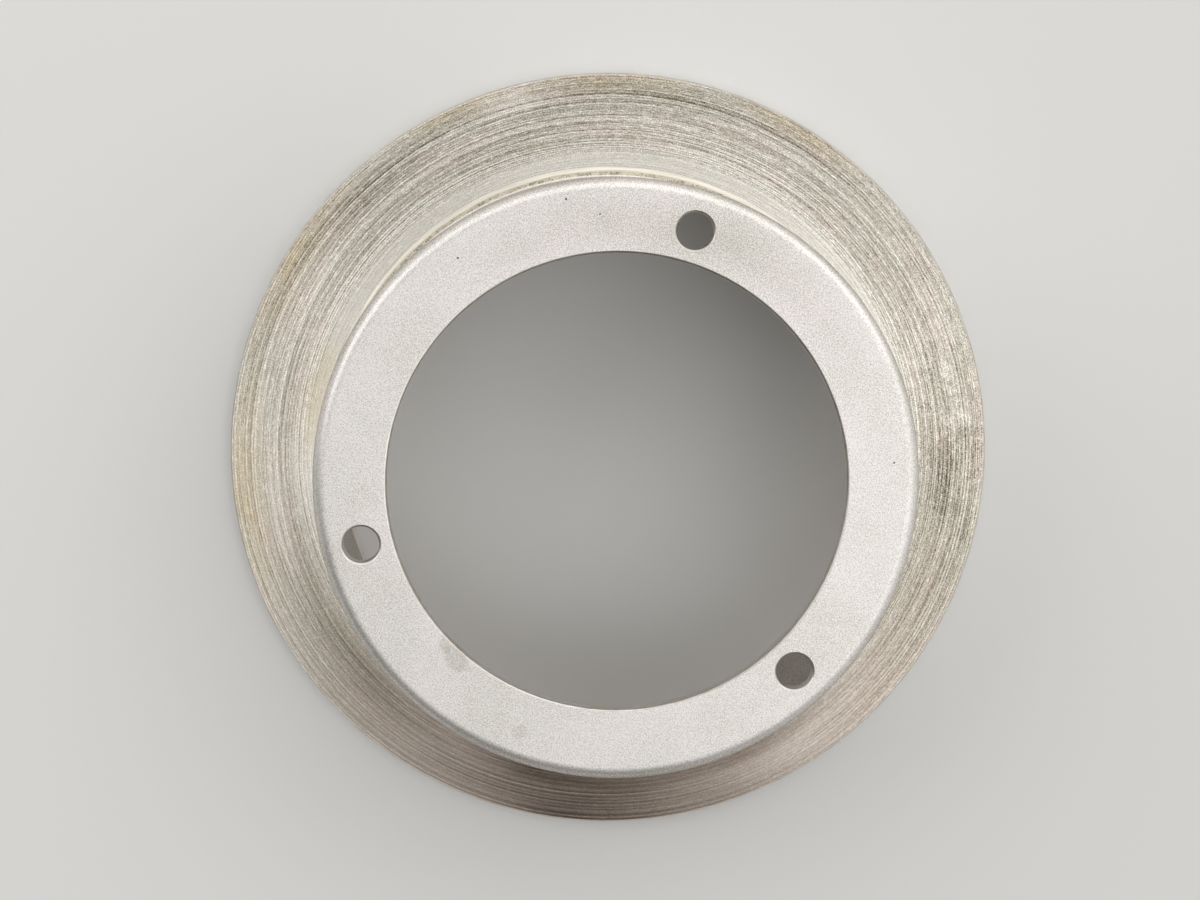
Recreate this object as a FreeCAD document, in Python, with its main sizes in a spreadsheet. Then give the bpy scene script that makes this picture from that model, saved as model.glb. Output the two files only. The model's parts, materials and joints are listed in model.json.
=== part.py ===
import FreeCAD, Part
import math
import os
import Sketcher

# One-piece aircraft brake disc: a flat rotor ring with a deep hat, bored open and drilled for three bolts.
# The disc lies on its rear ledge, hat upwards. The origin is on the turning axis, in the plane that it rests
# on, and the first bolt hole is on +Y.

doc = FreeCAD.newDocument("BrakeDisc")

# Driving dimensions, in millimetres, and the number of bolts
SIZES = [
    ("outer_diameter", 190.5, "rim of the rotor, 7.5 in"),
    ("bolt_circle_diameter", 120.65, "circle through the bolt hole centres, 4.75 in"),
    ("bolt_count", 3, "bolt holes, evenly spaced"),
    ("bolt_hole_diameter", 8.33, "clearance hole for a 5/16 in bolt"),
    ("bolt_hole_break", 0.5, "45 degree edge break at the front of a bolt hole"),
    ("inner_land", 7.555, "bolt circle to the edge of the bore"),
    ("outer_land", 9.525, "bolt circle to the outside of the hat"),
    ("bore_break", 0.4, "45 degree edge break at both ends of the bore"),
    ("flange_thickness", 3.2, "thickness of the bolting flange"),
    ("wall_thickness", 2.3, "thickness of the hat's wall"),
    ("hat_height", 50.05, "front swept face to the front of the flange"),
    ("crown_radius", 3.1, "outer corner between the flange and the wall"),
    ("inner_corner_leg", 1.2, "45 degree web in the inner corner between the flange and the wall"),
    ("foot_leg", 0.5, "45 degree web in the corner between the wall and the rotor's front"),
    ("mouth_radius", 3.2, "rounded corner at the open mouth of the hat, on the rear"),
    ("front_ledge_width", 1.55, "unworn ledge round the foot of the hat, on the front"),
    ("rear_ledge_width", 0.65, "unworn ledge round the mouth of the hat, on the rear"),
    ("wear_depth", 0.28, "how far each swept face is worn below its ledge"),
    ("wear_slope_width", 0.9, "slope that the linings have left from a ledge down to its swept face"),
    ("rotor_thickness", 5.9, "between the two swept faces"),
    ("rim_break", 0.4, "45 degree edge break at both edges of the rim"),
]

sheet = doc.addObject("Spreadsheet::Sheet", "Sizes")
for row, (alias, value, note) in enumerate(SIZES, start=1):
    sheet.set(f"A{row}", alias)
    sheet.set(f"B{row}", str(value))
    sheet.set(f"C{row}", note)
    sheet.setAlias(f"B{row}", alias)
doc.recompute()

# Dimensions that follow from the driving ones
BOLT_RADIUS = "Sizes.bolt_circle_diameter / 2"
BORE_RADIUS = f"{BOLT_RADIUS} - Sizes.inner_land"
HAT_RADIUS = f"{BOLT_RADIUS} + Sizes.outer_land"
CAVITY_RADIUS = f"{HAT_RADIUS} - Sizes.wall_thickness"
FRONT_LEDGE_RADIUS = f"{HAT_RADIUS} + Sizes.front_ledge_width"
REAR_LEDGE_RADIUS = f"{CAVITY_RADIUS} + Sizes.mouth_radius + Sizes.rear_ledge_width"
RIM_RADIUS = "Sizes.outer_diameter / 2"
FRONT_FACE = "Sizes.wear_depth + Sizes.rotor_thickness"
FRONT_LEDGE = f"{FRONT_FACE} + Sizes.wear_depth"
FLANGE_FRONT = f"{FRONT_FACE} + Sizes.hat_height"
FLANGE_REAR = f"{FLANGE_FRONT} - Sizes.flange_thickness"


def number(expression):
    """The present value of an expression on the sheet, in the sheet's own units."""
    return float(sheet.evalExpression(expression))


def origin_plane(body, role):
    """One of the body's own origin planes, such as XZ_Plane."""
    for feature in body.Origin.OriginFeatures:
        if feature.Role == role:
            return feature
    raise ValueError(f"the body has no {role}")


def new_sketch(body, name, role):
    """An empty sketch on one of the body's origin planes."""
    sketch = body.newObject("Sketcher::SketchObject", name)
    sketch.AttachmentSupport = [(origin_plane(body, role), "")]
    sketch.MapMode = "FlatFace"
    return sketch


def bind(sketch, constraint, name, expression):
    """Add a named dimension to the sketch and tie it to the sheet."""
    place = sketch.addConstraint(constraint)
    sketch.renameConstraint(place, name)
    sketch.setExpression(f"Constraints.{name}", expression)


def draw_section(sketch, corners):
    """A closed outline through named corners, each (name, across, up, radius) with its sizes as expressions.

    Two dimensions tie each corner to the origin. A corner with a radius is rounded, and the others are sharp.
    """
    points = []
    for name, across, up, radius in corners:
        points.append(FreeCAD.Vector(number(across), number(up), 0))
    count = len(points)
    for index in range(count):
        sketch.addGeometry(Part.LineSegment(points[index], points[(index + 1) % count]))
    for index in range(count):
        sketch.addConstraint(Sketcher.Constraint("Coincident", index, 2, (index + 1) % count, 1))
    for index, (name, across, up, radius) in enumerate(corners):
        reach = Sketcher.Constraint("DistanceX", -1, 1, index, 1, number(across))
        bind(sketch, reach, f"{name}_across", across)
        height = Sketcher.Constraint("DistanceY", -1, 1, index, 1, number(up))
        bind(sketch, height, f"{name}_up", up)
    for index, (name, across, up, radius) in enumerate(corners):
        if radius is None:
            continue
        before = (index - 1) % count
        sketch.fillet(before, index, points[before], points[(index + 1) % count], number(radius), True, True)
        # The fillet adds its arc, and then the point of the sharp corner
        arc = sketch.GeometryCount - 2
        bind(sketch, Sketcher.Constraint("Radius", arc, number(radius)), f"{name}_radius", radius)


# The turned body: the whole section in one sketch, turned about the axis
disc = doc.addObject("PartDesign::Body", "BrakeDisc")
disc.Label = "brake_disc"

section = new_sketch(disc, "DiscSection", "XZ_Plane")
draw_section(section, [
    ("mouth", CAVITY_RADIUS, "0", "Sizes.mouth_radius"),
    ("rear_ledge_edge", REAR_LEDGE_RADIUS, "0", None),
    ("rear_slope_end", f"{REAR_LEDGE_RADIUS} + Sizes.wear_slope_width", "Sizes.wear_depth", None),
    ("rim_rear_start", f"{RIM_RADIUS} - Sizes.rim_break", "Sizes.wear_depth", None),
    ("rim_rear_end", RIM_RADIUS, "Sizes.wear_depth + Sizes.rim_break", None),
    ("rim_front_start", RIM_RADIUS, f"{FRONT_FACE} - Sizes.rim_break", None),
    ("rim_front_end", f"{RIM_RADIUS} - Sizes.rim_break", FRONT_FACE, None),
    ("front_slope_end", f"{FRONT_LEDGE_RADIUS} + Sizes.wear_slope_width", FRONT_FACE, None),
    ("front_ledge_edge", FRONT_LEDGE_RADIUS, FRONT_LEDGE, None),
    ("foot_start", f"{HAT_RADIUS} + Sizes.foot_leg", FRONT_LEDGE, None),
    ("foot_end", HAT_RADIUS, f"{FRONT_LEDGE} + Sizes.foot_leg", None),
    ("crown", HAT_RADIUS, FLANGE_FRONT, "Sizes.crown_radius"),
    ("bore_front_start", f"{BORE_RADIUS} + Sizes.bore_break", FLANGE_FRONT, None),
    ("bore_front_end", BORE_RADIUS, f"{FLANGE_FRONT} - Sizes.bore_break", None),
    ("bore_rear_start", BORE_RADIUS, f"{FLANGE_REAR} + Sizes.bore_break", None),
    ("bore_rear_end", f"{BORE_RADIUS} + Sizes.bore_break", FLANGE_REAR, None),
    ("inner_corner_start", f"{CAVITY_RADIUS} - Sizes.inner_corner_leg", FLANGE_REAR, None),
    ("inner_corner_end", CAVITY_RADIUS, f"{FLANGE_REAR} - Sizes.inner_corner_leg", None),
])

turned = disc.newObject("PartDesign::Revolution", "TurnedDisc")
turned.Profile = section
turned.ReferenceAxis = (section, ["V_Axis"])
turned.Angle = 360
doc.recompute()
undrilled_volume = disc.Shape.Volume

# One bolt hole on the +Y side, cut as the half-section of the drill and its edge break, then repeated
hole_section = new_sketch(disc, "BoltHoleSection", "YZ_Plane")
HOLE_WALL = f"{BOLT_RADIUS} + Sizes.bolt_hole_diameter / 2"
HOLE_MOUTH = f"{HOLE_WALL} + Sizes.bolt_hole_break"
draw_section(hole_section, [
    ("centre_rear", BOLT_RADIUS, FLANGE_REAR, None),
    ("wall_rear", HOLE_WALL, FLANGE_REAR, None),
    ("wall_front", HOLE_WALL, f"{FLANGE_FRONT} - Sizes.bolt_hole_break", None),
    ("mouth_front", HOLE_MOUTH, FLANGE_FRONT, None),
    ("centre_front", BOLT_RADIUS, FLANGE_FRONT, None),
])
centre_line = hole_section.GeometryCount - 1
hole_section.addGeometry(hole_section.Geometry[centre_line], True)
hole_axis = hole_section.GeometryCount - 1
for end in (1, 2):
    hole_section.addConstraint(Sketcher.Constraint("Coincident", hole_axis, end, centre_line, end))

hole = disc.newObject("PartDesign::Groove", "BoltHole")
hole.Profile = hole_section
hole.ReferenceAxis = (hole_section, ["Axis0"])
hole.Angle = 360
doc.recompute()

bolt_holes = disc.newObject("PartDesign::PolarPattern", "BoltHoles")
bolt_holes.Originals = [hole]
bolt_holes.Axis = (section, ["V_Axis"])
bolt_holes.Angle = 360
bolt_holes.setExpression("Occurrences", "Sizes.bolt_count")
disc.Tip = bolt_holes
doc.recompute()

# Every feature must have worked, and the holes must have taken away more metal than their plain bores hold
for item in doc.Objects:
    if "Invalid" in item.State or "Error" in item.State:
        raise RuntimeError(f"{item.Name} failed: {item.State}")
shape = disc.Shape
if shape.isNull() or not shape.isValid() or len(shape.Solids) != 1:
    raise RuntimeError("the disc isn't one valid solid")
hole_area = math.pi * number("Sizes.bolt_hole_diameter") ** 2 / 4
plain_bores = number("Sizes.bolt_count") * hole_area * number("Sizes.flange_thickness")
if undrilled_volume - shape.Volume < plain_bores:
    raise RuntimeError("the bolt holes aren't cut")

os.makedirs("parts", exist_ok=True)
shape.exportStep(f"parts/{disc.Label}.step")
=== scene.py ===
import json
import math
import random
import bpy
from mathutils import Matrix, Vector


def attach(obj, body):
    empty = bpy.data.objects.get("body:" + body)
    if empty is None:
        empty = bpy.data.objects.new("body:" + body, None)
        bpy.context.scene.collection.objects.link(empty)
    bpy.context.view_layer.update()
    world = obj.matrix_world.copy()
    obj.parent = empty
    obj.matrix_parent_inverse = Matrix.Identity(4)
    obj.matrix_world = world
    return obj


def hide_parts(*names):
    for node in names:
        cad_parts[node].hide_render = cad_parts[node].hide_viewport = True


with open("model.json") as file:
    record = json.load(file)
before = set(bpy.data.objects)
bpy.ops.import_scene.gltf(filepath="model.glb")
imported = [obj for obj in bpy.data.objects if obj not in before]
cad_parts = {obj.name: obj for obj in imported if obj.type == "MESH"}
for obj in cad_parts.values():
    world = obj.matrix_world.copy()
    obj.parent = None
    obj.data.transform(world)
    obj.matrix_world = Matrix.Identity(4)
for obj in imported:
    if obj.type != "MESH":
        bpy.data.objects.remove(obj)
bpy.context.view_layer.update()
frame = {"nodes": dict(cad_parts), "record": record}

MM = 0.001

# The view: a hand-held camera about half a metre over the flange, a little up and left of the disc's axis.
# Its place is given for the picture's own upright, and the part is turned from that, so that one bolt hole
# lies on the part's +Y.
PICTURE_TURN = math.radians(16.9)
CAMERA_PLACE = Vector((-18.3, 69.9, 535.6)) * MM
CAMERA_AIM = Vector((-2.5, 1.5, 6.2)) * MM
PICTURE_UP = Vector((0, 1, 0))
SENSOR_WIDTH = 36.0
CAMERA_LENS = 63.54

to_part = Matrix.Rotation(PICTURE_TURN, 4, "Z")
back = (CAMERA_PLACE - CAMERA_AIM).normalized()
right = PICTURE_UP.cross(back).normalized()
camera_axes = Matrix((right, back.cross(right), back)).transposed().to_4x4()
camera = bpy.data.objects.new("camera", bpy.data.cameras.new("camera"))
camera.data.sensor_width = SENSOR_WIDTH
camera.data.lens = CAMERA_LENS
camera.matrix_world = to_part @ Matrix.Translation(CAMERA_PLACE) @ camera_axes
bpy.context.scene.collection.objects.link(camera)
bpy.context.scene.camera = camera
bpy.context.scene.view_settings.view_transform = "Standard"

# The disc: one steel forging, turned all over on a lathe. A deep hat joins the rotor to a thin flange, bored
# for the hub and drilled for three bolts. The linings have worn both faces of the rotor below the ledges
# beside them. Radii and heights are in millimetres, and the disc lies on its rear ledge.
mounts = {mount["name"]: mount for mount in frame["record"]["mounts"]}


def mount_height(name):
    """Height of a flat mount of the record, in millimetres."""
    return mounts[name]["pos_m"][2] / MM


WALL = 2.3
OUTER_LAND = 9.525
CROWN_ROUNDING = 3.1
INNER_ROUNDING = 1.8
FOOT_ROUNDING = 0.6
MOUTH_ROUNDING = 3.2
FRONT_LEDGE_WIDTH = 1.55
REAR_LEDGE_WIDTH = 0.65
SLOPE_WIDTH = 0.9
SLOPE_TOP_ROUNDING = 1.2
SLOPE_END_ROUNDING = 2.4
EDGE_BREAK = 0.4
BREAK_ROUNDING = 0.65
HOLE_BREAK = 0.5

flange_front = mount_height("flange_front")
flange_rear = mount_height("flange_rear")
front_face = mount_height("friction_front")
rear_face = mount_height("friction_rear")
front_ledge = front_face + rear_face
bore_radius = mounts["pilot_bore"]["dims"]["r_mm"]
bolt_radius = mounts["bolt_holes"]["dims"]["pcd_mm"] / 2
bolt_count = mounts["bolt_holes"]["dims"]["count"]
hole_radius = mounts["bolt_holes"]["dims"]["hole_r_mm"]
rim_radius = max(vertex.co.xy.length for vertex in frame["nodes"]["brake_disc"].data.vertices) / MM
hat_radius = bolt_radius + OUTER_LAND
cavity_radius = hat_radius - WALL
front_ledge_edge = hat_radius + FRONT_LEDGE_WIDTH
rear_ledge_edge = cavity_radius + MOUTH_ROUNDING + REAR_LEDGE_WIDTH

# Tracks that grit has scored in the front face: the radius of each, and its depth. A track is about half a
# millimetre wide, and a third as deep at the spread from its middle. The whole face is also finely uneven.
TRACKS = ((76.25, 0.015), (77.1, 0.013), (78.35, 0.007), (79.5, 0.012), (81.6, 0.008), (83.4, 0.010),
          (85.2, 0.010), (86.5, 0.008), (87.85, 0.019), (88.95, 0.013), (90.65, 0.016), (91.55, 0.009),
          (92.3, 0.007), (93.85, 0.011), (94.7, 0.013))
TRACK_SPREAD = 0.2
UNEVENNESS = 0.003

# How finely the disc is cut: rings across each swept face, the turn of one step along a rounded corner, the
# point beside a corner, and the steps round the axis and round a hole
FRONT_RINGS = 150
REAR_RINGS = 72
ARC_STEP = math.radians(7)
SUPPORT = 0.06
TURNING_STEPS = 256
HOLE_STEPS = 72


def track_depth(radius):
    """Depth of the scored tracks at a radius, all of them together."""
    depth = 0.0
    for track_radius, track_floor in TRACKS:
        depth += track_floor * math.exp(-((radius - track_radius) / TRACK_SPREAD) ** 2)
    return depth


def swept_run(start, end, rings, height, inwards, scored, seed):
    """Points across a swept face from one radius to another, scored with the tracks or only uneven."""
    drawn = random.Random(seed)
    points = []
    for ring in range(1, rings):
        radius = start + (end - start) * ring / rings
        depth = drawn.uniform(0.0, UNEVENNESS)
        if scored:
            depth += track_depth(radius)
        points.append(Vector((radius, height + inwards * depth)))
    return points


def rounded(corners):
    """Points through corners, each (radius, height, rounding), with an arc where the rounding isn't zero.

    A point beside each end of an arc keeps the flat faces beside it flat to the eye.
    """
    points = []
    places = [Vector(corner[:2]) for corner in corners]
    for index, corner in enumerate(places):
        rounding = corners[index][2]
        if not rounding:
            points.append(corner)
            continue
        before = (places[index - 1] - corner).normalized()
        after = (places[(index + 1) % len(places)] - corner).normalized()
        half = before.angle(after) / 2
        reach = rounding / math.tan(half)
        centre = corner + (before + after).normalized() * rounding / math.sin(half)
        start = corner + before * reach - centre
        end = corner + after * reach - centre
        first_angle = math.atan2(start.y, start.x)
        sweep = (math.atan2(end.y, end.x) - first_angle + math.pi) % math.tau - math.pi
        steps = math.ceil(abs(sweep) / ARC_STEP)
        points.append(corner + before * (reach + SUPPORT))
        for step in range(steps + 1):
            angle = first_angle + sweep * step / steps
            points.append(centre + Vector((math.cos(angle), math.sin(angle))) * rounding)
        points.append(corner + after * (reach + SUPPORT))
    return points


hat_outline = rounded([
    (rim_radius - EDGE_BREAK, front_face, 0),
    (front_ledge_edge + SLOPE_WIDTH, front_face, SLOPE_END_ROUNDING),
    (front_ledge_edge, front_ledge, SLOPE_TOP_ROUNDING),
    (hat_radius, front_ledge, FOOT_ROUNDING),
    (hat_radius, flange_front, CROWN_ROUNDING),
    (bore_radius + EDGE_BREAK, flange_front, BREAK_ROUNDING),
    (bore_radius, flange_front - EDGE_BREAK, BREAK_ROUNDING),
    (bore_radius, flange_rear + EDGE_BREAK, 0),
    (bore_radius + EDGE_BREAK, flange_rear, 0),
    (cavity_radius, flange_rear, INNER_ROUNDING),
    (cavity_radius, 0, MOUTH_ROUNDING),
    (rear_ledge_edge, 0, SLOPE_TOP_ROUNDING),
    (rear_ledge_edge + SLOPE_WIDTH, rear_face, SLOPE_END_ROUNDING),
    (rim_radius - EDGE_BREAK, rear_face, 0),
    (rim_radius, rear_face + EDGE_BREAK, 0),
    (rim_radius, front_face - EDGE_BREAK, 0),
])
rim_start = hat_outline[0].x
front_run = swept_run(rim_start, hat_outline[1].x, FRONT_RINGS, front_face, -1, True, seed=11)
rear_end = [point.x for point in hat_outline].index(rim_start, 1)
rear_run = swept_run(hat_outline[rear_end - 1].x, rim_start, REAR_RINGS, rear_face, 1, False, seed=12)
disc_outline = hat_outline[:1] + front_run + hat_outline[1:rear_end] + rear_run + hat_outline[rear_end:]

# The drill that cuts a bolt hole, with a softly rounded countersink that breaks the hole's front edge. A step
# of that break is given as parts of its width and its depth. The drill reaches past both faces of the flange,
# and its outline runs down from end to end of its own axis.
BREAK_STEPS = ((0.62, 0.21), (0.21, 0.62), (0.0, 1.0))
DRILL_REACH = 1.0
first_across, first_down = BREAK_STEPS[0]
mouth_slope = first_down / (1 - first_across)
drill_top = flange_front + DRILL_REACH * mouth_slope
drill_outline = [Vector((0, drill_top)), Vector((hole_radius + HOLE_BREAK + DRILL_REACH, drill_top))]
for across_part, down_part in BREAK_STEPS:
    drill_outline.append(Vector((hole_radius + across_part * HOLE_BREAK,
                                 flange_front - down_part * HOLE_BREAK)))
drill_outline.append(Vector((hole_radius, flange_rear - DRILL_REACH)))
drill_outline.append(Vector((0, flange_rear - DRILL_REACH)))


def outline_object(name, outline, closed):
    """An object with an outline as its edges, at (radius, 0, height), in metres."""
    edges = [(index, index + 1) for index in range(len(outline) - 1)]
    if closed:
        edges.append((len(outline) - 1, 0))
    mesh = bpy.data.meshes.new(name)
    mesh.from_pydata([(point.x * MM, 0, point.y * MM) for point in outline], edges, [])
    made = bpy.data.objects.new(name, mesh)
    bpy.context.scene.collection.objects.link(made)
    return made


def add_node(tree, kind, inputs=None, **settings):
    """A node with its settings made and its inputs set, or linked where a value is a node or a socket."""
    node = tree.nodes.new(kind)
    for name, value in settings.items():
        setattr(node, name, value)
    for socket, value in (inputs or {}).items():
        if isinstance(socket, int):
            target = node.inputs[socket]
        else:
            target = next(item for item in node.inputs if item.enabled and item.name == socket)
        if isinstance(value, bpy.types.Node):
            value = next(item for item in value.outputs if item.enabled)
        if isinstance(value, bpy.types.NodeSocket):
            tree.links.new(value, target)
        else:
            target.default_value = value
    return node


def new_tree(name, inputs, output):
    """A tree of geometry nodes, with inputs as (name, kind of socket), and its input node."""
    tree = bpy.data.node_groups.new(name, "GeometryNodeTree")
    for label, kind in inputs:
        tree.interface.new_socket(label, in_out="INPUT", socket_type=kind)
    tree.interface.new_socket(output, in_out="OUTPUT", socket_type="NodeSocketGeometry")
    return tree, add_node(tree, "NodeGroupInput")


# Turning: an outline swept once round the Z axis along a guide circle, as a lathe's tool cuts it. Points that
# lie closer than the weld, in metres, become one.
WELD = 1e-7
turning, given = new_tree("turning", (
    ("Outline", "NodeSocketGeometry"), ("Steps", "NodeSocketInt"), ("Guide", "NodeSocketFloat")), "Turned")
place = add_node(turning, "ShaderNodeSeparateXYZ", {0: add_node(turning, "GeometryNodeInputPosition")})
across = add_node(turning, "ShaderNodeMath", {0: place.outputs["X"], 1: given.outputs["Guide"]},
                  operation="SUBTRACT")
along = add_node(turning, "ShaderNodeMath", {0: place.outputs["Z"], 1: -1.0}, operation="MULTIPLY")
flat_place = add_node(turning, "ShaderNodeCombineXYZ", {"X": across, "Y": along})
curve = add_node(turning, "GeometryNodeMeshToCurve", {"Mesh": given.outputs["Outline"]})
profile = add_node(turning, "GeometryNodeSetPosition", {"Geometry": curve, "Position": flat_place})
circle = add_node(turning, "GeometryNodeCurvePrimitiveCircle",
                  {"Resolution": given.outputs["Steps"], "Radius": given.outputs["Guide"]})
swept = add_node(turning, "GeometryNodeCurveToMesh", {"Curve": circle, "Profile Curve": profile})
merged = add_node(turning, "GeometryNodeMergeByDistance", {"Geometry": swept, "Distance": WELD})
add_node(turning, "NodeGroupOutput", {0: merged})

# Machining: the disc is turned, and the drill's solid is set round the bolt circle and cut away
machining, given = new_tree("machining", (
    ("Outline", "NodeSocketGeometry"), ("Drill", "NodeSocketObject"), ("Turning steps", "NodeSocketInt"),
    ("Hole steps", "NodeSocketInt"), ("Guide radius", "NodeSocketFloat"), ("Bolt radius", "NodeSocketFloat"),
    ("Bolt count", "NodeSocketInt")), "Disc")
turned = add_node(machining, "GeometryNodeGroup", node_tree=turning)
drill = add_node(machining, "GeometryNodeGroup", node_tree=turning)
drill_source = add_node(machining, "GeometryNodeObjectInfo", {"Object": given.outputs["Drill"]})
for stock, outline, steps in ((turned, given.outputs["Outline"], "Turning steps"),
                              (drill, drill_source.outputs["Geometry"], "Hole steps")):
    machining.links.new(outline, stock.inputs["Outline"])
    machining.links.new(given.outputs[steps], stock.inputs["Steps"])
    machining.links.new(given.outputs["Guide radius"], stock.inputs["Guide"])
bolt_circle = add_node(machining, "GeometryNodeMeshCircle",
                       {"Vertices": given.outputs["Bolt count"], "Radius": given.outputs["Bolt radius"]})
first_on_y = add_node(machining, "GeometryNodeTransform",
                      {"Geometry": bolt_circle, "Rotation": (0, 0, math.pi / 2)})
drills = add_node(machining, "GeometryNodeInstanceOnPoints", {"Points": first_on_y, "Instance": drill})
cutters = add_node(machining, "GeometryNodeRealizeInstances", {0: drills})
drilled = add_node(machining, "GeometryNodeMeshBoolean", {"Mesh 1": turned, "Mesh 2": cutters},
                   operation="DIFFERENCE", solver="EXACT")
made = add_node(machining, "GeometryNodeRealizeInstances", {0: drilled.outputs["Mesh"]})


def linear(colour):
    """An sRGB hex colour as linear red, green, blue and alpha."""
    channels = []
    for start in (1, 3, 5):
        level = int(colour[start:start + 2], 16) / 255
        channels.append(level / 12.92 if level <= 0.04045 else ((level + 0.055) / 1.055) ** 2.4)
    return (*channels, 1.0)


def new_finish(name):
    """A material with an empty tree but for its shader, and the tree and shader."""
    finish = bpy.data.materials.new(name)
    finish.use_nodes = True
    finish.node_tree.nodes.clear()
    shader = add_node(finish.node_tree, "ShaderNodeBsdfPrincipled")
    add_node(finish.node_tree, "ShaderNodeOutputMaterial", {"Surface": shader})
    return finish, finish.node_tree, shader


def disc_place(tree):
    """The place on the disc in millimetres, its radius, and its direction from the axis."""
    place = add_node(tree, "ShaderNodeTexCoord").outputs["Object"]
    scaled = add_node(tree, "ShaderNodeVectorMath", {0: place, "Scale": 1 / MM}, operation="SCALE")
    level = add_node(tree, "ShaderNodeVectorMath", {0: scaled, 1: (1, 1, 0)}, operation="MULTIPLY")
    radius = add_node(tree, "ShaderNodeVectorMath", {0: level}, operation="LENGTH").outputs["Value"]
    direction = add_node(tree, "ShaderNodeVectorMath", {0: level}, operation="NORMALIZE")
    return scaled, radius, direction


def streaks(tree, across, direction, length, width, seed, detail=2.0):
    """Noise drawn out along the turning direction: a streak's usual length and width are in millimetres.

    The way across the streaks is the radius on a flat face, or the height on a turned wall. Each seed takes
    another part of the noise.
    """
    round_part = add_node(tree, "ShaderNodeVectorMath", {0: direction, "Scale": MID_RADIUS / length},
                          operation="SCALE")
    depth_part = add_node(tree, "ShaderNodeMath", {0: across, 1: 1 / width, 2: SEED_GAP * seed},
                          operation="MULTIPLY_ADD")
    up = add_node(tree, "ShaderNodeCombineXYZ", {"Z": depth_part})
    place = add_node(tree, "ShaderNodeVectorMath", {0: round_part, 1: up}, operation="ADD")
    return add_node(tree, "ShaderNodeTexNoise", {"Vector": place, "Scale": 1.0, "Detail": detail})


def varied(tree, tone, noise, strength, spread=0.5):
    """A tone with a noise added to it, from -strength to +strength. A narrow spread gives crisp edges."""
    change = add_node(tree, "ShaderNodeMapRange", {
        "Value": noise, "From Min": 0.5 - spread, "From Max": 0.5 + spread, "To Min": -strength,
        "To Max": strength})
    return add_node(tree, "ShaderNodeMath", {0: tone, 1: change}, operation="ADD")


def patch(tree, radius, direction, angle, patch_radius, half_arc, half_width):
    """1 at the middle of a soft patch and 0 past its edge. The angle is the picture's, in degrees."""
    heading = to_part @ Vector((math.cos(math.radians(angle)), math.sin(math.radians(angle)), 0))
    off = add_node(tree, "ShaderNodeVectorMath", {0: direction, 1: heading}, operation="DISTANCE")
    arc = add_node(tree, "ShaderNodeMath", {0: off.outputs["Value"], 1: patch_radius / half_arc},
                   operation="MULTIPLY")
    out = add_node(tree, "ShaderNodeMath", {0: radius, 1: 1 / half_width, 2: -patch_radius / half_width},
                   operation="MULTIPLY_ADD")
    both = add_node(tree, "ShaderNodeCombineXYZ", {0: arc, 1: out})
    away = add_node(tree, "ShaderNodeVectorMath", {0: both}, operation="LENGTH").outputs["Value"]
    return add_node(tree, "ShaderNodeMapRange", {"Value": away, "From Min": 1.0, "From Max": 0.0},
                    interpolation_type="SMOOTHSTEP")


def dusty_and_painted_shade(tree, colour, tone):
    """A colour scaled by a tone, browner as it darkens: for lining dust and for painted shade."""
    browner = add_node(tree, "ShaderNodeCombineXYZ", {
        axis: add_node(tree, "ShaderNodeMath", {0: tone, 1: power}, operation="POWER")
        for axis, power in zip("XYZ", DUST_AND_SHADE_POWERS)})
    return add_node(tree, "ShaderNodeVectorMath", {0: colour, 1: browner}, operation="MULTIPLY")


# Worn steel of the two swept faces. The linings lap it to a dull champagne grey of fine circular lines, dust
# darkens the scored tracks, painted shade with a little dust darkens the lower arc, and heat and damp leave
# an ochre film towards the rim. Close to the hat the steel stays smoother and paler. Sizes are in
# millimetres, and a tone of 1 is the plain colour.
MID_RADIUS = 84.0
SEED_GAP = 37.0
CRISP = 0.2
DUST_AND_SHADE_POWERS = (0.96, 1.0, 1.1)
SWEPT_STEEL = "#BEB7AB"
GREEN_GREY = "#BBB6A8"
ROSE_GREY = "#BFB5A9"
QUIET_STEEL = "#BEB9AD"
DUSTED_STEEL = "#C0B1A7"
OCHRE_FILM = "#B6A78B"
# Streaks: the usual length and width, the seed, and for the lines that grit has drawn how strongly they show.
# Most lines and the grain are a little coarser than the real ones, so that they show in the picture.
LINES = ((500, 0.38, 1, 0.46), (60, 0.34, 2, 0.24), (9, 0.3, 3, 0.1), (2.5, 0.28, 4, 0.17),
         (400, 2.4, 10, 0.17))
FLECKS = (1.6, 0.3, 8)
TRACK_FADING = (45, 3, 9)
CLOUDS = (26, 5, 6)
TINTS = (22, 6, 7)
FILM_STREAKS = (9, 1.2, 5)
LINE_DEPTH = 0.007
GRAIN_SIZE = 0.34
GRAIN_STRENGTH = 0.42
FLECK_STRENGTH = 0.5
TRACK_DUST = 0.125
QUIET_RADIUS = 76.0
QUIET_LINES = 0.45
QUIET_TONE = 1.4
SWEPT_TONE = 1.01
CLOUD_STRENGTH = 0.2
DARKEST_TONE = 0.12
SWEPT_ROUGHNESS = (0.22, 0.28)
SWEPT_ANISOTROPY = 0.5
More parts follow.
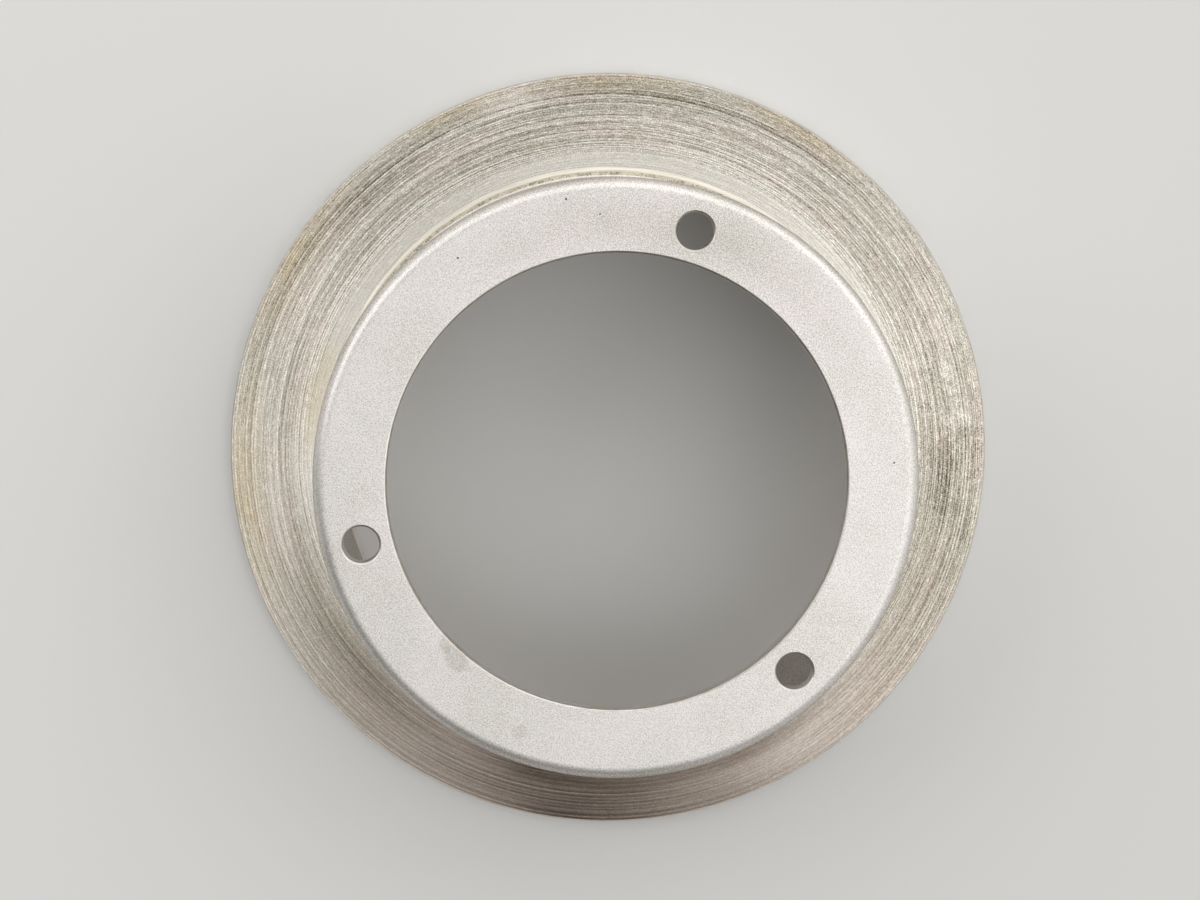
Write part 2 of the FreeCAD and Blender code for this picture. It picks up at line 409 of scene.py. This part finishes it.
# Some of these are painted light and shade, above all the dark arcs low down, on the right and by the hat
# Darker and paler patches: the picture's angle, the radius, half the arc and half the width, and the change
TONE_AND_SHADE_PATCHES = (
    (-20, 84.0, 70, 26.0, -0.35), (-3, 84.0, 17, 10.0, -0.2), (1, 86.5, 14, 3.5, -0.26),
    (8, 79.0, 9, 4.0, -0.12), (26, 85.0, 38, 5.0, -0.2), (20, 89.5, 20, 6.0, 0.08),
    (68, 80.5, 34, 5.0, 0.16), (80, 88.5, 30, 3.5, -0.08), (100, 88.5, 16, 4.0, -0.08),
    (105, 92.0, 18, 6.0, 0.36), (98, 73.8, 60, 3.0, 0.26), (22, 77.5, 46, 3.0, -0.12),
    (108, 78.0, 32, 4.0, -0.16), (133, 88.5, 26, 6.0, -0.2), (152, 83.0, 26, 12.0, 0.2),
    (182, 86.0, 34, 14.0, 0.14), (197, 78.0, 22, 6.0, -0.16), (220, 82.0, 46, 18.0, -0.42),
    (256, 84.0, 20, 4.0, -0.12), (267, 84.0, 58, 30.0, -0.6), (298, 83.5, 30, 5.0, -0.36),
    (285, 94.5, 90, 4.5, -0.16))
# Where the film lies: the picture's angle, the radius, half the arc and half the width
OCHRE_PATCHES = ((60, 95.0, 30, 6.0), (90, 95.0, 34, 8.0), (114, 95.0, 22, 5.0), (148, 94.0, 36, 9.0),
                 (184, 92.0, 40, 7.0), (168, 75.0, 20, 5.0))
# Arcs where the lines are fainter, where dust tints the steel, and where handling has scuffed it in blotches
# and in pale strokes, which lie at three tilts
CALM_ARC = (262, 84.0, 190, 60.0)
CALMING = 0.85
DUSTY_ARC = (268, 84.0, 110, 40.0)
SCUFFED_ARC = (10, 87.0, 50, 16.0)
BLOTCH_SIZE = 4.5
BLOTCH_STRENGTH = 0.18
STROKE_SIZE = (0.3, 4.0, 1.0)
STROKE_TILTS = (-38, 35, 80)
STROKE_STRENGTH = 0.4
swept_steel, tree, shader = new_finish("lining_worn_steel")
place, radius, direction = disc_place(tree)
loud = add_node(tree, "ShaderNodeMapRange", {"Value": radius, "From Min": QUIET_RADIUS - 1.4,
                                             "From Max": QUIET_RADIUS + 1.2, "To Min": QUIET_LINES})
lines = 0.0
for length, width, seed, strength in LINES:
    lines = varied(tree, lines, streaks(tree, radius, direction, length, width, seed, 1.0), strength, CRISP)
grain = add_node(tree, "ShaderNodeTexNoise", {"Vector": place, "Scale": 1 / GRAIN_SIZE, "Detail": 1.0})
lines = varied(tree, lines, grain, GRAIN_STRENGTH, CRISP)
flecks = add_node(tree, "ShaderNodeMapRange", {"Value": streaks(tree, radius, direction, *FLECKS, 1.0),
                                               "From Min": 0.54, "From Max": 0.7, "To Max": FLECK_STRENGTH})
lines = add_node(tree, "ShaderNodeMath", {0: lines, 1: flecks}, operation="ADD")
scored = add_node(tree, "ShaderNodeAttribute", attribute_name="track").outputs["Fac"]
fading = add_node(tree, "ShaderNodeMapRange", {"Value": streaks(tree, radius, direction, *TRACK_FADING, 1.0),
                                               "From Min": 0.35, "From Max": 0.6, "To Min": 0.25})
dusty = add_node(tree, "ShaderNodeMath", {0: scored, 1: fading}, operation="MULTIPLY")
lines = add_node(tree, "ShaderNodeMath", {0: dusty, 1: -TRACK_DUST, 2: lines}, operation="MULTIPLY_ADD")
tone = add_node(tree, "ShaderNodeMapRange", {"Value": radius, "From Min": QUIET_RADIUS - 1.0,
                                             "From Max": QUIET_RADIUS + 5.0, "To Min": QUIET_TONE,
                                             "To Max": SWEPT_TONE})
calm = patch(tree, radius, direction, *CALM_ARC)
calmed = add_node(tree, "ShaderNodeMath", {0: calm, 1: -CALMING, 2: 1.0}, operation="MULTIPLY_ADD")
loud = add_node(tree, "ShaderNodeMath", {0: loud, 1: calmed}, operation="MULTIPLY")
tone = add_node(tree, "ShaderNodeMath", {0: lines, 1: loud, 2: tone}, operation="MULTIPLY_ADD")
cloud = streaks(tree, radius, direction, *CLOUDS, 3.0)
tone = varied(tree, tone, cloud, CLOUD_STRENGTH)
scuffed = patch(tree, radius, direction, *SCUFFED_ARC)
blotches = add_node(tree, "ShaderNodeTexNoise", {"Vector": place, "Scale": 1 / BLOTCH_SIZE, "Detail": 4.0})
scuffs = varied(tree, 0.0, blotches, BLOTCH_STRENGTH, 0.16)
for tilt in STROKE_TILTS:
    tilted = add_node(tree, "ShaderNodeMapping", {"Vector": place, "Rotation": (0, 0, math.radians(tilt)),
                                                  "Scale": STROKE_SIZE}, vector_type="TEXTURE")
    strokes = add_node(tree, "ShaderNodeTexNoise", {"Vector": tilted, "Scale": 1.0, "Detail": 1.0})
    pale = add_node(tree, "ShaderNodeMapRange", {"Value": strokes, "From Min": 0.6, "From Max": 0.72,
                                                 "To Max": STROKE_STRENGTH})
    scuffs = add_node(tree, "ShaderNodeMath", {0: scuffs, 1: pale}, operation="ADD")
tone = add_node(tree, "ShaderNodeMath", {0: scuffs, 1: scuffed, 2: tone}, operation="MULTIPLY_ADD")
# The patches change the tone: the steel's own patches, and painted light and shade
for *spot, change in TONE_AND_SHADE_PATCHES:
    tone = add_node(tree, "ShaderNodeMath", {0: patch(tree, radius, direction, *spot), 1: change, 2: tone},
                    operation="MULTIPLY_ADD")
tone = add_node(tree, "ShaderNodeMath", {0: tone, 1: DARKEST_TONE}, operation="MAXIMUM")
tint = streaks(tree, radius, direction, *TINTS, 3.0)
hue = add_node(tree, "ShaderNodeValToRGB", {"Fac": tint})
stops = hue.color_ramp.elements
stops[0].position = 0.34
stops[0].color = linear(GREEN_GREY)
stops[1].position = 0.66
stops[1].color = linear(ROSE_GREY)
stops.new(0.5).color = linear(SWEPT_STEEL)
quiet = add_node(tree, "ShaderNodeMapRange", {"Value": radius, "From Min": QUIET_RADIUS - 1.0,
                                              "From Max": QUIET_RADIUS + 4.0, "To Min": 1.0, "To Max": 0.0})
hue = add_node(tree, "ShaderNodeMix", {"Factor": quiet, "A": hue, "B": linear(QUIET_STEEL)}, data_type="RGBA")
dust = patch(tree, radius, direction, *DUSTY_ARC)
hue = add_node(tree, "ShaderNodeMix", {"Factor": dust, "A": hue, "B": linear(DUSTED_STEEL)}, data_type="RGBA")
film = 0.0
for spot in OCHRE_PATCHES:
    film = add_node(tree, "ShaderNodeMath", {0: patch(tree, radius, direction, *spot), 1: film},
                    operation="MAXIMUM")
film_edge = streaks(tree, radius, direction, *FILM_STREAKS, 3.0)
film_noise = add_node(tree, "ShaderNodeMapRange", {"Value": film_edge, "From Min": 0.35, "From Max": 0.6,
                                                   "To Min": 0.4, "To Max": 0.8})
film = add_node(tree, "ShaderNodeMath", {0: film, 1: film_noise}, operation="MULTIPLY")
hue = add_node(tree, "ShaderNodeMix", {"Factor": film, "A": hue, "B": linear(OCHRE_FILM)}, data_type="RGBA")
tree.links.new(dusty_and_painted_shade(tree, hue, tone).outputs[0], shader.inputs["Base Color"])
rough = add_node(tree, "ShaderNodeMapRange", {"Value": cloud, "From Min": 0.3, "From Max": 0.7,
                                              "To Min": SWEPT_ROUGHNESS[0], "To Max": SWEPT_ROUGHNESS[1]})
tree.links.new(rough.outputs[0], shader.inputs["Roughness"])
shader.inputs["Metallic"].default_value = 1.0
shader.inputs["Anisotropic"].default_value = SWEPT_ANISOTROPY
tree.links.new(direction.outputs[0], shader.inputs["Tangent"])
scratches = add_node(tree, "ShaderNodeMath", {0: lines, 1: loud}, operation="MULTIPLY")
bump = add_node(tree, "ShaderNodeBump", {"Height": scratches, "Distance": LINE_DEPTH * MM, "Strength": 1.0})
tree.links.new(bump.outputs[0], shader.inputs["Normal"])

# Blasted steel of the hat and the flange: fine shot leaves it an even silvery grey, and its grain is drawn
# coarser than the real one so that it shows. Shade is painted on the hat's walls, deepest on the lower arc,
# and a little on the top of the flange. A few pin-point pits and faint grey-green stains mark the
# flange's front.
BLASTED_STEEL = "#F3EFE8"
ROSY_STEEL = "#F3ECE7"
STAIN = "#B1B1A3"
PIT = "#4A4744"
CLOUD_SIZE = 22
BLAST_CLOUD_STRENGTH = 0.07
BLAST_GRAIN = 0.28
BLAST_GRAIN_STRENGTH = 0.27
BLAST_GRAIN_DEPTH = 0.01
# Painted shade: on the hat's walls, deeper on their lower arc, and a little on the top of the flange
WALL_PAINTED_SHADE = 0.4
LOWER_SHADE_ARC = (270, 68.0, 105, 60.0)
LOWER_PAINTED_SHADE = 0.28
TOP_SHADE_ARC = (75, 60.0, 75, 11.0)
TOP_PAINTED_SHADE = 0.16
DARKEST_WALL = 0.1
# Marks on the flange's front: the place in the part's frame, the radius, and how strongly it shows
PITS = ((-49.5, 39.0, 0.27, 1.0), (-30.0, 58.7, 0.27, 1.0), (-21.7, 57.7, 0.23, 1.0), (59.4, 23.0, 0.25, 1.0))
STAINS = ((-23.3, -48.8, 3.4, 0.36), (-5.1, -62.4, 1.8, 0.2), (-27.2, -46.9, 2.4, 0.3))
STAIN_RAGGEDNESS = 2.6
RAG_SIZE = 2.6
MARK_CORE = 0.8
blasted_steel, tree, shader = new_finish("bead_blasted_steel")
place, radius, direction = disc_place(tree)
broad = add_node(tree, "ShaderNodeTexNoise", {"Vector": place, "Scale": 1 / CLOUD_SIZE, "Detail": 3.0})
tint = add_node(tree, "ShaderNodeMapRange", {"Value": broad, "From Min": 0.4, "From Max": 0.65})
colour = add_node(tree, "ShaderNodeMix", {"Factor": tint, "A": linear(BLASTED_STEEL),
                                          "B": linear(ROSY_STEEL)}, data_type="RGBA")
ragged = add_node(tree, "ShaderNodeTexNoise", {"Vector": place, "Scale": 1 / RAG_SIZE, "Detail": 5.0})
for marks, mark_colour, wobble in ((STAINS, STAIN, STAIN_RAGGEDNESS), (PITS, PIT, 0.0)):
    for across, up, size, strength in marks:
        off = add_node(tree, "ShaderNodeVectorMath", {0: place, 1: (across, up, flange_front)},
                       operation="DISTANCE")
        away = add_node(tree, "ShaderNodeMath", {0: ragged, 1: wobble * size, 2: off.outputs["Value"]},
                        operation="MULTIPLY_ADD")
        edge = size * (1 + wobble / 2)
        mark = add_node(tree, "ShaderNodeMapRange", {"Value": away, "From Min": edge,
                                                     "From Max": MARK_CORE * edge, "To Max": strength},
                        interpolation_type="SMOOTHSTEP")
        colour = add_node(tree, "ShaderNodeMix", {"Factor": mark, "A": colour, "B": linear(mark_colour)},
                          data_type="RGBA")
grain = add_node(tree, "ShaderNodeTexNoise", {"Vector": place, "Scale": 1 / BLAST_GRAIN, "Detail": 1.0})
height = add_node(tree, "ShaderNodeSeparateXYZ", {0: place}).outputs["Z"]
# Painted shade on the hat's walls, from below the crown down to just above the foot
wall_shade = add_node(tree, "ShaderNodeMapRange", {"Value": height, "From Min": flange_front - 0.5,
                                                    "From Max": flange_front - 2.0, "To Max": -WALL_PAINTED_SHADE})
over_foot = add_node(tree, "ShaderNodeMapRange", {"Value": height, "From Min": front_ledge + 0.4,
                                                  "From Max": front_ledge + 1.2})
tone = add_node(tree, "ShaderNodeMath", {0: wall_shade, 1: over_foot, 2: 1.0}, operation="MULTIPLY_ADD")
# Painted shade on the crown and wall, deeper on the lower arc
crown_shade = add_node(tree, "ShaderNodeMapRange", {"Value": height, "From Min": flange_front - 0.1,
                                                   "From Max": flange_front - 1.0, "To Max": -LOWER_PAINTED_SHADE})
lower = patch(tree, radius, direction, *LOWER_SHADE_ARC)
tone = add_node(tree, "ShaderNodeMath", {0: crown_shade, 1: lower, 2: tone}, operation="MULTIPLY_ADD")
# Painted shade on the top of the flange
top_shade = patch(tree, radius, direction, *TOP_SHADE_ARC)
tone = add_node(tree, "ShaderNodeMath", {0: top_shade, 1: -TOP_PAINTED_SHADE, 2: tone}, operation="MULTIPLY_ADD")
tone = varied(tree, tone, grain, BLAST_GRAIN_STRENGTH, CRISP)
tone = varied(tree, tone, broad, BLAST_CLOUD_STRENGTH, CRISP)
tone = add_node(tree, "ShaderNodeMath", {0: tone, 1: DARKEST_WALL}, operation="MAXIMUM")
tree.links.new(dusty_and_painted_shade(tree, colour, tone).outputs[0], shader.inputs["Base Color"])
bump = add_node(tree, "ShaderNodeBump", {"Height": grain, "Distance": BLAST_GRAIN_DEPTH * MM,
                                         "Strength": 1.0})
tree.links.new(bump.outputs[0], shader.inputs["Normal"])
shader.inputs["Metallic"].default_value = 0.8
shader.inputs["Roughness"].default_value = 0.43

# Oxide on the narrow ledges that the linings never reach: old brake dust baked to a mottled olive brown, with
# dark specks where it has flaked.
LEDGE_OXIDE = "#E6DECA"
MOTTLES_TO_A_MM = 0.7
MOTTLE_STRENGTH = 0.25
SPECKS_TO_A_MM = 1.9
SPECK_STRENGTH = 0.5
ledge_oxide, tree, shader = new_finish("baked_oxide_on_steel")
place, radius, direction = disc_place(tree)
mottle = add_node(tree, "ShaderNodeTexNoise", {"Vector": place, "Scale": MOTTLES_TO_A_MM, "Detail": 3.0})
specks = add_node(tree, "ShaderNodeTexNoise", {"Vector": place, "Scale": SPECKS_TO_A_MM, "Detail": 1.0})
dark = add_node(tree, "ShaderNodeMapRange", {"Value": specks, "From Min": 0.54, "From Max": 0.66,
                                             "To Max": -SPECK_STRENGTH})
tone = varied(tree, 1.0, mottle, MOTTLE_STRENGTH, CRISP)
tone = add_node(tree, "ShaderNodeMath", {0: tone, 1: dark}, operation="ADD")
colour = add_node(tree, "ShaderNodeVectorMath", {0: linear(LEDGE_OXIDE)[:3], "Scale": tone},
                  operation="SCALE")
tree.links.new(colour.outputs[0], shader.inputs["Base Color"])
shader.inputs["Metallic"].default_value = 0.7
shader.inputs["Roughness"].default_value = 0.55

# The slope between a ledge and its swept face: the edge of the linings rubs it pale, and a thin film of damp
# yellows it. Its pale colour is also a painted highlight, paler than the rubbing alone. It is soft and satin,
# so it takes light from a wider part of the room.
RUBBED_STEEL_AND_HIGHLIGHT = "#F8F2E3"
RUBBED_STREAKS = (12, 0.4, 11)
RUBBED_STRENGTH = 0.14
rubbed_steel_and_highlight, tree, shader = new_finish("rubbed_steel_painted_highlight")
place, radius, direction = disc_place(tree)
rubbed = streaks(tree, radius, direction, *RUBBED_STREAKS, 2.0)
tone = varied(tree, 1.0, rubbed, RUBBED_STRENGTH, CRISP)
colour = add_node(tree, "ShaderNodeVectorMath", {0: linear(RUBBED_STEEL_AND_HIGHLIGHT)[:3], "Scale": tone},
                  operation="SCALE")
tree.links.new(colour.outputs[0], shader.inputs["Base Color"])
shader.inputs["Metallic"].default_value = 0.6
shader.inputs["Roughness"].default_value = 0.4

# Bright machined steel where a cutter passed last: the bore, the bolt holes, the rim and their broken edges.
# Fine turning lines run round it, coarser here than the real ones so that they show, and handling has left it
# faintly brown in places.
MACHINED_STEEL = "#E4E0D9"
HANDLED_STEEL = "#C9BFB0"
HANDLED_SIZE = 7
MACHINED_TONE = 0.98
TURNING_LINES = (60, 0.16, 1)
TURNING_LINE_STRENGTH = 0.14
TURNING_LINE_DEPTH = 0.006
NICKS = (3, 0.3, 2)
NICK_STRENGTH = 0.1
machined_steel, tree, shader = new_finish("turned_bright_steel")
place, radius, direction = disc_place(tree)
depth = add_node(tree, "ShaderNodeSeparateXYZ", {0: place}).outputs["Z"]
turned_lines = streaks(tree, depth, direction, *TURNING_LINES, 1.0)
nicks = streaks(tree, depth, direction, *NICKS, 2.0)
handled = add_node(tree, "ShaderNodeTexNoise", {"Vector": place, "Scale": 1 / HANDLED_SIZE, "Detail": 4.0})
browned = add_node(tree, "ShaderNodeMapRange", {"Value": handled, "From Min": 0.4, "From Max": 0.66,
                                                "To Max": 0.6})
colour = add_node(tree, "ShaderNodeMix", {"Factor": browned, "A": linear(MACHINED_STEEL),
                                          "B": linear(HANDLED_STEEL)}, data_type="RGBA")
tone = varied(tree, MACHINED_TONE, turned_lines, TURNING_LINE_STRENGTH, CRISP)
tone = varied(tree, tone, nicks, NICK_STRENGTH, CRISP)
toned = add_node(tree, "ShaderNodeVectorMath", {0: colour, "Scale": tone}, operation="SCALE")
tree.links.new(toned.outputs[0], shader.inputs["Base Color"])
bump = add_node(tree, "ShaderNodeBump", {"Height": turned_lines, "Distance": TURNING_LINE_DEPTH * MM,
                                         "Strength": 1.0})
tree.links.new(bump.outputs[0], shader.inputs["Normal"])
shader.inputs["Metallic"].default_value = 1.0
shader.inputs["Roughness"].default_value = 0.36

# Where each finish lies: lowest and highest radius and height, in millimetres. Later regions lie over
# earlier ones, the first is the whole disc, and some reach a little past their own face.
REGION_SLACK = 0.02
REGION_REACH = 0.2
SHARP_ANGLE = math.radians(28)
regions = (
    (blasted_steel, 0, rim_radius, 0, flange_front),
    (ledge_oxide, hat_radius + 0.7 * FOOT_ROUNDING, front_ledge_edge, front_face, front_ledge),
    (ledge_oxide, rear_ledge_edge - REAR_LEDGE_WIDTH, rear_ledge_edge, -SUPPORT, rear_face),
    (swept_steel, front_ledge_edge, rim_radius, front_face - REGION_REACH, front_ledge),
    (swept_steel, rear_ledge_edge, rim_radius, -SUPPORT, rear_face + REGION_REACH),
    (rubbed_steel_and_highlight, front_ledge_edge - REGION_REACH, front_ledge_edge + SLOPE_WIDTH, front_face, front_ledge),
    (rubbed_steel_and_highlight, rear_ledge_edge - REGION_REACH, rear_ledge_edge + SLOPE_WIDTH, 0, rear_face),
    (machined_steel, 0, bore_radius + 1.2 * EDGE_BREAK, flange_rear, flange_front),
    (machined_steel, rim_radius - EDGE_BREAK, rim_radius + SUPPORT, 0, front_ledge),
)
position = add_node(machining, "GeometryNodeInputPosition")
level = add_node(machining, "ShaderNodeVectorMath", {0: position, 1: (1, 1, 0)}, operation="MULTIPLY")
radius = add_node(machining, "ShaderNodeVectorMath", {0: level}, operation="LENGTH").outputs["Value"]
height = add_node(machining, "ShaderNodeSeparateXYZ", {0: position}).outputs["Z"]


def between(field, low, high):
    """1 where a field of the disc lies between two sizes in millimetres, or just outside them."""
    centre = (low + high) / 2 * MM
    half = ((high - low) / 2 + REGION_SLACK) * MM
    away = add_node(machining, "ShaderNodeMath", {0: field, 1: centre}, operation="SUBTRACT")
    away = add_node(machining, "ShaderNodeMath", {0: away}, operation="ABSOLUTE")
    return add_node(machining, "ShaderNodeMath", {0: away, 1: half}, operation="LESS_THAN")


for finish, low_radius, high_radius, low_height, high_height in regions:
    inside = add_node(machining, "ShaderNodeMath", {0: between(radius, low_radius, high_radius),
                                                    1: between(height, low_height, high_height)},
                      operation="MULTIPLY")
    made = add_node(machining, "GeometryNodeSetMaterial",
                    {"Geometry": made, "Selection": inside, "Material": finish})
nearest_bolt = add_node(machining, "GeometryNodeProximity",
                        {"Geometry": first_on_y, "Sample Position": level}, target_element="POINTS")
near_hole = add_node(machining, "ShaderNodeMath",
                     {0: nearest_bolt.outputs["Distance"], 1: (hole_radius + HOLE_BREAK) * MM},
                     operation="LESS_THAN")
facing = add_node(machining, "ShaderNodeSeparateXYZ", {0: add_node(machining, "GeometryNodeInputNormal")})
lean = add_node(machining, "ShaderNodeMath", {0: facing.outputs["Z"]}, operation="ABSOLUTE")
steep = add_node(machining, "ShaderNodeMath", {0: lean, 1: 0.9}, operation="LESS_THAN")
drilled_wall = add_node(machining, "ShaderNodeMath", {0: near_hole, 1: steep}, operation="MULTIPLY")
made = add_node(machining, "GeometryNodeSetMaterial",
                {"Geometry": made, "Selection": drilled_wall, "Material": machined_steel})
add_node(machining, "NodeGroupOutput", {0: made})

disc = outline_object("turned_disc", disc_outline, closed=True)
drill_object = outline_object("drill", drill_outline, closed=False)
maker = disc.modifiers.new("machining", "NODES")
maker.node_group = machining
sizes = {
    "Drill": drill_object,
    "Turning steps": TURNING_STEPS,
    "Hole steps": HOLE_STEPS,
    "Guide radius": bolt_radius * MM,
    "Bolt radius": bolt_radius * MM,
    "Bolt count": bolt_count,
}
for item in machining.interface.items_tree:
    if item.name in sizes:
        maker[item.identifier] = sizes[item.name]
evaluated = disc.evaluated_get(bpy.context.evaluated_depsgraph_get())
disc_mesh = bpy.data.meshes.new_from_object(evaluated)
disc.modifiers.remove(maker)
disc.data = disc_mesh
bpy.data.objects.remove(drill_object)
deepest = max(depth for _, depth in TRACKS)
track = disc_mesh.attributes.new("track", "FLOAT", "POINT")
for vertex, value in zip(disc_mesh.vertices, track.data):
    reach = vertex.co.xy.length / MM
    on_front = vertex.co.z / MM > front_face - REGION_REACH and reach > front_ledge_edge
    value.value = track_depth(reach) / deepest if on_front else 0.0
disc_mesh.shade_smooth()
disc_mesh.set_sharp_from_angle(angle=SHARP_ANGLE)
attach(disc, "root")
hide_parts("brake_disc")

# The floor: a plain pale sheet under the disc
FLOOR_SIZE = 4.0
FLOOR_COLOUR = "#ECEBE8"
floor_mesh = bpy.data.meshes.new("floor")
half = FLOOR_SIZE / 2
corners = [(-half, -half, 0), (half, -half, 0), (half, half, 0), (-half, half, 0)]
floor_mesh.from_pydata(corners, [], [(0, 1, 2, 3)])
floor = bpy.data.objects.new("floor", floor_mesh)
bpy.context.scene.collection.objects.link(floor)
floor_finish, tree, shader = new_finish("pale_paper")
shader.inputs["Base Color"].default_value = linear(FLOOR_COLOUR)
shader.inputs["Roughness"].default_value = 0.9
floor_mesh.materials.append(floor_finish)

# The light: a pale room, bright overhead and past the top of the picture, dim low down and below it, where
# whoever holds the camera also shades the ceiling. Three soft windows stand past the top and at the sides,
# and a pale backdrop runs along the horizon. Directions are for the picture's own upright.
ROOM_DIM = 0.06
ROOM_BRIGHT = 0.95
BRIGHT_SIDE = Vector((0.8, 0.6, 0))
SKIRTING = 0.4
CEILING = 1.5
CEILING_MIDDLE = Vector((0.15, -0.26, 0))
CEILING_REACH = 0.48
CEILING_STRETCH = 2.0
BODY_SHADE = 0.95
BACKDROP_DIM = 0.3
BACKDROP_BRIGHT = 0.75
ROOM_COLOUR = "#F4F4F4"
# Where each change starts and where it ends, as the part of a direction that lies along one axis
ROOM_SPAN = (-0.75, 0.75)
SKIRTING_RISE = (0.2, 0.6)
BODY_SIDE = (0.24, 0.04)
BODY_HEAD = (-0.14, -0.26)
HORIZON = (0.3, 0.1)
BACKDROP_SPAN = (-0.9, 0.6)
# Each window's place, width, height and power, in metres and watts
WINDOWS = (((0.1, 1.15, 0.82), 2.8, 1.15, 7.0), ((-1.08, 0.42, 0.85), 0.8, 0.9, 3.6),
           ((1.15, 0.52, 0.8), 0.8, 0.9, 1.5))
world = bpy.data.worlds.new("pale_room")
bpy.context.scene.world = world
world.use_nodes = True
tree = world.node_tree
tree.nodes.clear()
looking = add_node(tree, "ShaderNodeTexCoord").outputs["Generated"]
parts = []
for axis in (BRIGHT_SIDE, Vector((1, 0, 0)), Vector((0, 1, 0)), Vector((0, 0, 1))):
    part = add_node(tree, "ShaderNodeVectorMath", {0: looking, 1: to_part @ axis}, operation="DOT_PRODUCT")
    parts.append(part.outputs["Value"])
side, across, up, height = parts
room = add_node(tree, "ShaderNodeMapRange", {"Value": side, "From Min": ROOM_SPAN[0],
                                             "From Max": ROOM_SPAN[1], "To Min": ROOM_DIM,
                                             "To Max": ROOM_BRIGHT})
rising = add_node(tree, "ShaderNodeMapRange", {"Value": height, "From Min": SKIRTING_RISE[0],
                                               "From Max": SKIRTING_RISE[1], "To Min": SKIRTING})
off_across = add_node(tree, "ShaderNodeMath", {0: across, 1: 1 / CEILING_STRETCH,
                                               2: -CEILING_MIDDLE.x / CEILING_STRETCH},
                      operation="MULTIPLY_ADD")
off_up = add_node(tree, "ShaderNodeMath", {0: up, 1: CEILING_MIDDLE.y}, operation="SUBTRACT")
off = add_node(tree, "ShaderNodeCombineXYZ", {0: off_across, 1: off_up})
off_middle = add_node(tree, "ShaderNodeVectorMath", {0: off}, operation="LENGTH").outputs["Value"]
ceiling = add_node(tree, "ShaderNodeMapRange", {"Value": off_middle, "From Min": CEILING_REACH,
                                                "From Max": 0.0, "To Max": CEILING},
                   interpolation_type="SMOOTHSTEP")
level = add_node(tree, "ShaderNodeMath", {0: room, 1: rising, 2: ceiling}, operation="MULTIPLY_ADD")
away = add_node(tree, "ShaderNodeMath", {0: across}, operation="ABSOLUTE")
narrow = add_node(tree, "ShaderNodeMapRange", {"Value": away, "From Min": BODY_SIDE[0],
                                               "From Max": BODY_SIDE[1]}, interpolation_type="SMOOTHSTEP")
below = add_node(tree, "ShaderNodeMapRange", {"Value": up, "From Min": BODY_HEAD[0],
                                              "From Max": BODY_HEAD[1]}, interpolation_type="SMOOTHSTEP")
body = add_node(tree, "ShaderNodeMath", {0: narrow, 1: below}, operation="MULTIPLY")
unshaded = add_node(tree, "ShaderNodeMath", {0: body, 1: -BODY_SHADE, 2: 1.0}, operation="MULTIPLY_ADD")
strength = add_node(tree, "ShaderNodeMath", {0: level, 1: unshaded}, operation="MULTIPLY")
at_horizon = add_node(tree, "ShaderNodeMapRange", {"Value": height, "From Min": HORIZON[0],
                                                   "From Max": HORIZON[1]}, interpolation_type="SMOOTHSTEP")
backdrop = add_node(tree, "ShaderNodeMapRange", {"Value": side, "From Min": BACKDROP_SPAN[0],
                                                 "From Max": BACKDROP_SPAN[1], "To Min": BACKDROP_DIM,
                                                 "To Max": BACKDROP_BRIGHT})
strength = add_node(tree, "ShaderNodeMix", {"Factor": at_horizon, "A": strength, "B": backdrop},
                    data_type="FLOAT")
sky = add_node(tree, "ShaderNodeBackground", {"Color": linear(ROOM_COLOUR), "Strength": strength})
add_node(tree, "ShaderNodeOutputWorld", {"Surface": sky})
for window_place, width, tall, power in WINDOWS:
    lamp = bpy.data.lights.new("window", "AREA")
    lamp.shape = "RECTANGLE"
    lamp.size = width
    lamp.size_y = tall
    lamp.energy = power
    window = bpy.data.objects.new("window", lamp)
    aim = Vector(window_place).to_track_quat("Z", "Y").to_matrix().to_4x4()
    window.matrix_world = to_part @ Matrix.Translation(window_place) @ aim
    window.visible_camera = False
    bpy.context.scene.collection.objects.link(window)
